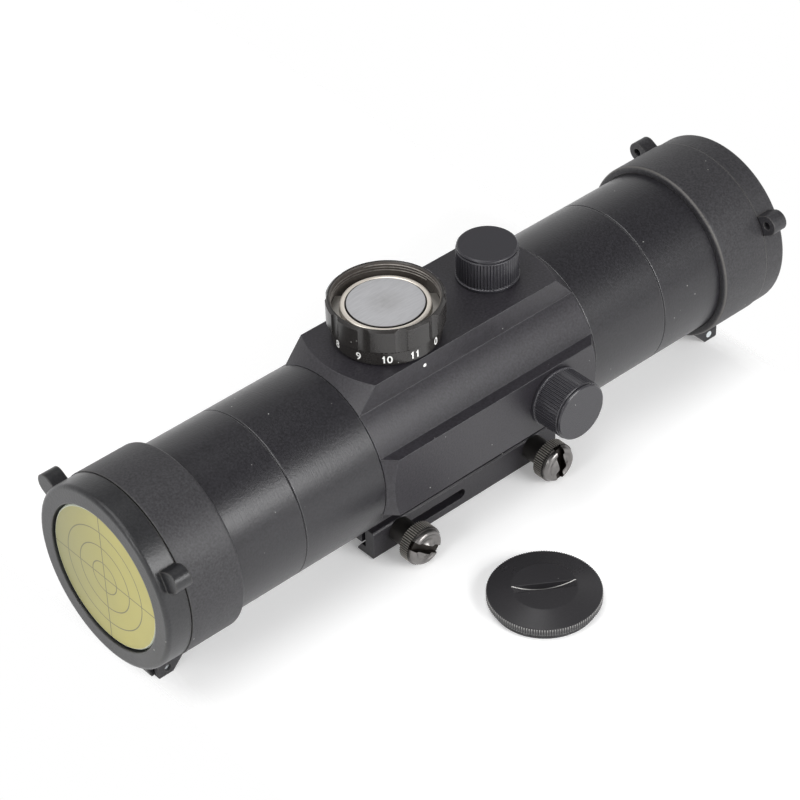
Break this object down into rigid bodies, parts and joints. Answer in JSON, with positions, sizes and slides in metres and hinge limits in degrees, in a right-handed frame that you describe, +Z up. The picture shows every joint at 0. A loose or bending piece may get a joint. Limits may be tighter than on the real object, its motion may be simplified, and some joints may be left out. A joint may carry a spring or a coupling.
{
  "type": "red dot finder",
  "caption": "Tube red dot finder with flip-open amber lens covers, a fluted brightness dial with its coin cell, capped adjusters, a side rail clamp and a loose battery cap.",
  "frame": {"origin": "middle of the flat rail seat under the main housing, below the tube's axis", "axes": "+X along the tube towards the target, +Z up, the clamp jaw, its screws and the windage turret on -Y"},
  "size_m": [0.1852, 0.0828, 0.0603],
  "materials": {
    "anodised": "satin black anodised",
    "moulded": "satin black moulded",
    "amber": "clear pale amber",
    "lens": "coated glass",
    "seal": "matt",
    "black_steel": "glossy black plated",
    "bright_steel": "bright",
    "cell": "bright nickel",
    "brass": "turned",
    "board": "lacquered",
    "diode": "clear red"
  },
  "bodies": {
    "sight_body": {"main_housing": "anodised", "rear_tube": "anodised", "front_tube": "anodised", "eyepiece_tube": "anodised", "objective_tube": "anodised", "eyepiece_window": "lens", "objective_lens": "lens", "eyepiece_seal": "seal", "objective_seal": "seal", "eyepiece_ring": "anodised", "objective_ring": "anodised", "return_spring": "bright_steel", "switch_board": "board", "click_ball": "bright_steel", "click_spring": "bright_steel", "elevation_seat": "anodised", "windage_seat": "anodised", "rear_cap_sleeve": "moulded", "front_cap_sleeve": "moulded", "rear_hinge_pin": "bright_steel", "front_hinge_pin": "bright_steel"},
    "gimbal": {"gimbal_ring": "brass"},
    "sight_tube": {"inner_tube": "anodised", "led_bracket": "moulded", "led_emitter": "diode"},
    "dial": {"brightness_dial": "anodised", "dial_wiper": "brass", "dial_clip": "bright_steel", "battery_contact": "bright_steel"},
    "cell": {"coin_cell": "cell"},
    "loose_cap": {"battery_cap": "anodised", "battery_cap_seal": "seal", "battery_cap_contact": "bright_steel"},
    "elevation_drum": {"elevation_adjuster": "brass"},
    "elevation_lead": {"elevation_screw": "bright_steel"},
    "windage_drum": {"windage_adjuster": "brass"},
    "windage_lead": {"windage_screw": "bright_steel"},
    "elevation_dust_cap": {"elevation_cap": "anodised"},
    "windage_dust_cap": {"windage_cap": "anodised"},
    "jaw": {"clamp_jaw": "anodised"},
    "rear_thumb_screw": {"rear_clamp_screw": "black_steel"},
    "front_thumb_screw": {"front_clamp_screw": "black_steel"},
    "rear_cover": {"rear_lid": "moulded", "rear_lid_window": "amber"},
    "front_cover": {"front_lid": "moulded", "front_lid_window": "amber"}
  },
  "joints": [
    {"name": "rear_lid_hinge", "type": "hinge", "parent": "sight_body", "child": "rear_cover", "pos_m": [-0.0837, 0, -0.001], "axis": [0, -1, 0], "range_deg": [0, 110]},
    {"name": "front_lid_hinge", "type": "hinge", "parent": "sight_body", "child": "front_cover", "pos_m": [0.0837, 0, -0.001], "axis": [0, 1, 0], "range_deg": [0, 110]},
    {"name": "dial_turn", "type": "hinge", "parent": "sight_body", "child": "dial", "pos_m": [-0.0126, 0, 0.0475], "axis": [0, 0, 1], "continuous": true},
    {"name": "cell_lift", "type": "slide", "parent": "dial", "child": "cell", "axis": [0, 0, 1], "range_m": [0, 0.015]},
    {"name": "loose_cap_lift", "type": "slide", "parent": "sight_body", "child": "loose_cap", "axis": [0, 0, 1], "range_m": [0, 0.065]},
    {"name": "elevation_turn", "type": "hinge", "parent": "sight_body", "child": "elevation_drum", "pos_m": [0.0174, 0, 0.0475], "axis": [0, 0, 1], "range_deg": [-360, 360]},
    {"name": "elevation_lead_slide", "type": "slide", "parent": "sight_body", "child": "elevation_lead", "axis": [0, 0, 1], "range_m": [-0.00051, 0.00051]},
    {"name": "windage_turn", "type": "hinge", "parent": "sight_body", "child": "windage_drum", "pos_m": [0.0174, -0.0215, 0.0256], "axis": [0, -1, 0], "range_deg": [-360, 360]},
    {"name": "windage_lead_slide", "type": "slide", "parent": "sight_body", "child": "windage_lead", "axis": [0, -1, 0], "range_m": [-0.00051, 0.00051]},
    {"name": "windage_tilt", "type": "hinge", "parent": "sight_body", "child": "gimbal", "pos_m": [-0.0216, 0, 0.0256], "axis": [0, 0, -1], "range_deg": [-0.75, 0.75]},
    {"name": "elevation_tilt", "type": "hinge", "parent": "gimbal", "child": "sight_tube", "pos_m": [-0.0216, 0, 0.0256], "axis": [0, -1, 0], "range_deg": [-0.75, 0.75]},
    {"name": "elevation_cap_lift", "type": "slide", "parent": "sight_body", "child": "elevation_dust_cap", "axis": [0, 0, 1], "range_m": [0, 0.012]},
    {"name": "windage_cap_lift", "type": "slide", "parent": "sight_body", "child": "windage_dust_cap", "axis": [0, -1, 0], "range_m": [0, 0.012]},
    {"name": "jaw_slide", "type": "slide", "parent": "sight_body", "child": "jaw", "axis": [0, 1, 0], "range_m": [-0.002, 0.0012]},
    {"name": "rear_screw_turn", "type": "hinge", "parent": "jaw", "child": "rear_thumb_screw", "pos_m": [-0.0205, -0.011, 0.0025], "axis": [0, 1, 0], "range_deg": [-1028, 617]},
    {"name": "front_screw_turn", "type": "hinge", "parent": "jaw", "child": "front_thumb_screw", "pos_m": [0.0205, -0.011, 0.0025], "axis": [0, 1, 0], "range_deg": [-1029, 618]}
  ],
  "couplings": [
    {"joint": "elevation_lead_slide", "follows": "elevation_turn", "m_per_rad": 0.000079577},
    {"joint": "windage_lead_slide", "follows": "windage_turn", "m_per_rad": 0.000079577},
    {"joint": "elevation_tilt", "follows": "elevation_turn", "ratio": 0.0020404},
    {"joint": "windage_tilt", "follows": "windage_turn", "ratio": 0.0020404},
    {"joint": "jaw_slide", "follows": "rear_screw_turn", "m_per_rad": 0.00011141},
    {"joint": "front_screw_turn", "follows": "rear_screw_turn", "ratio": 1}
  ]
}
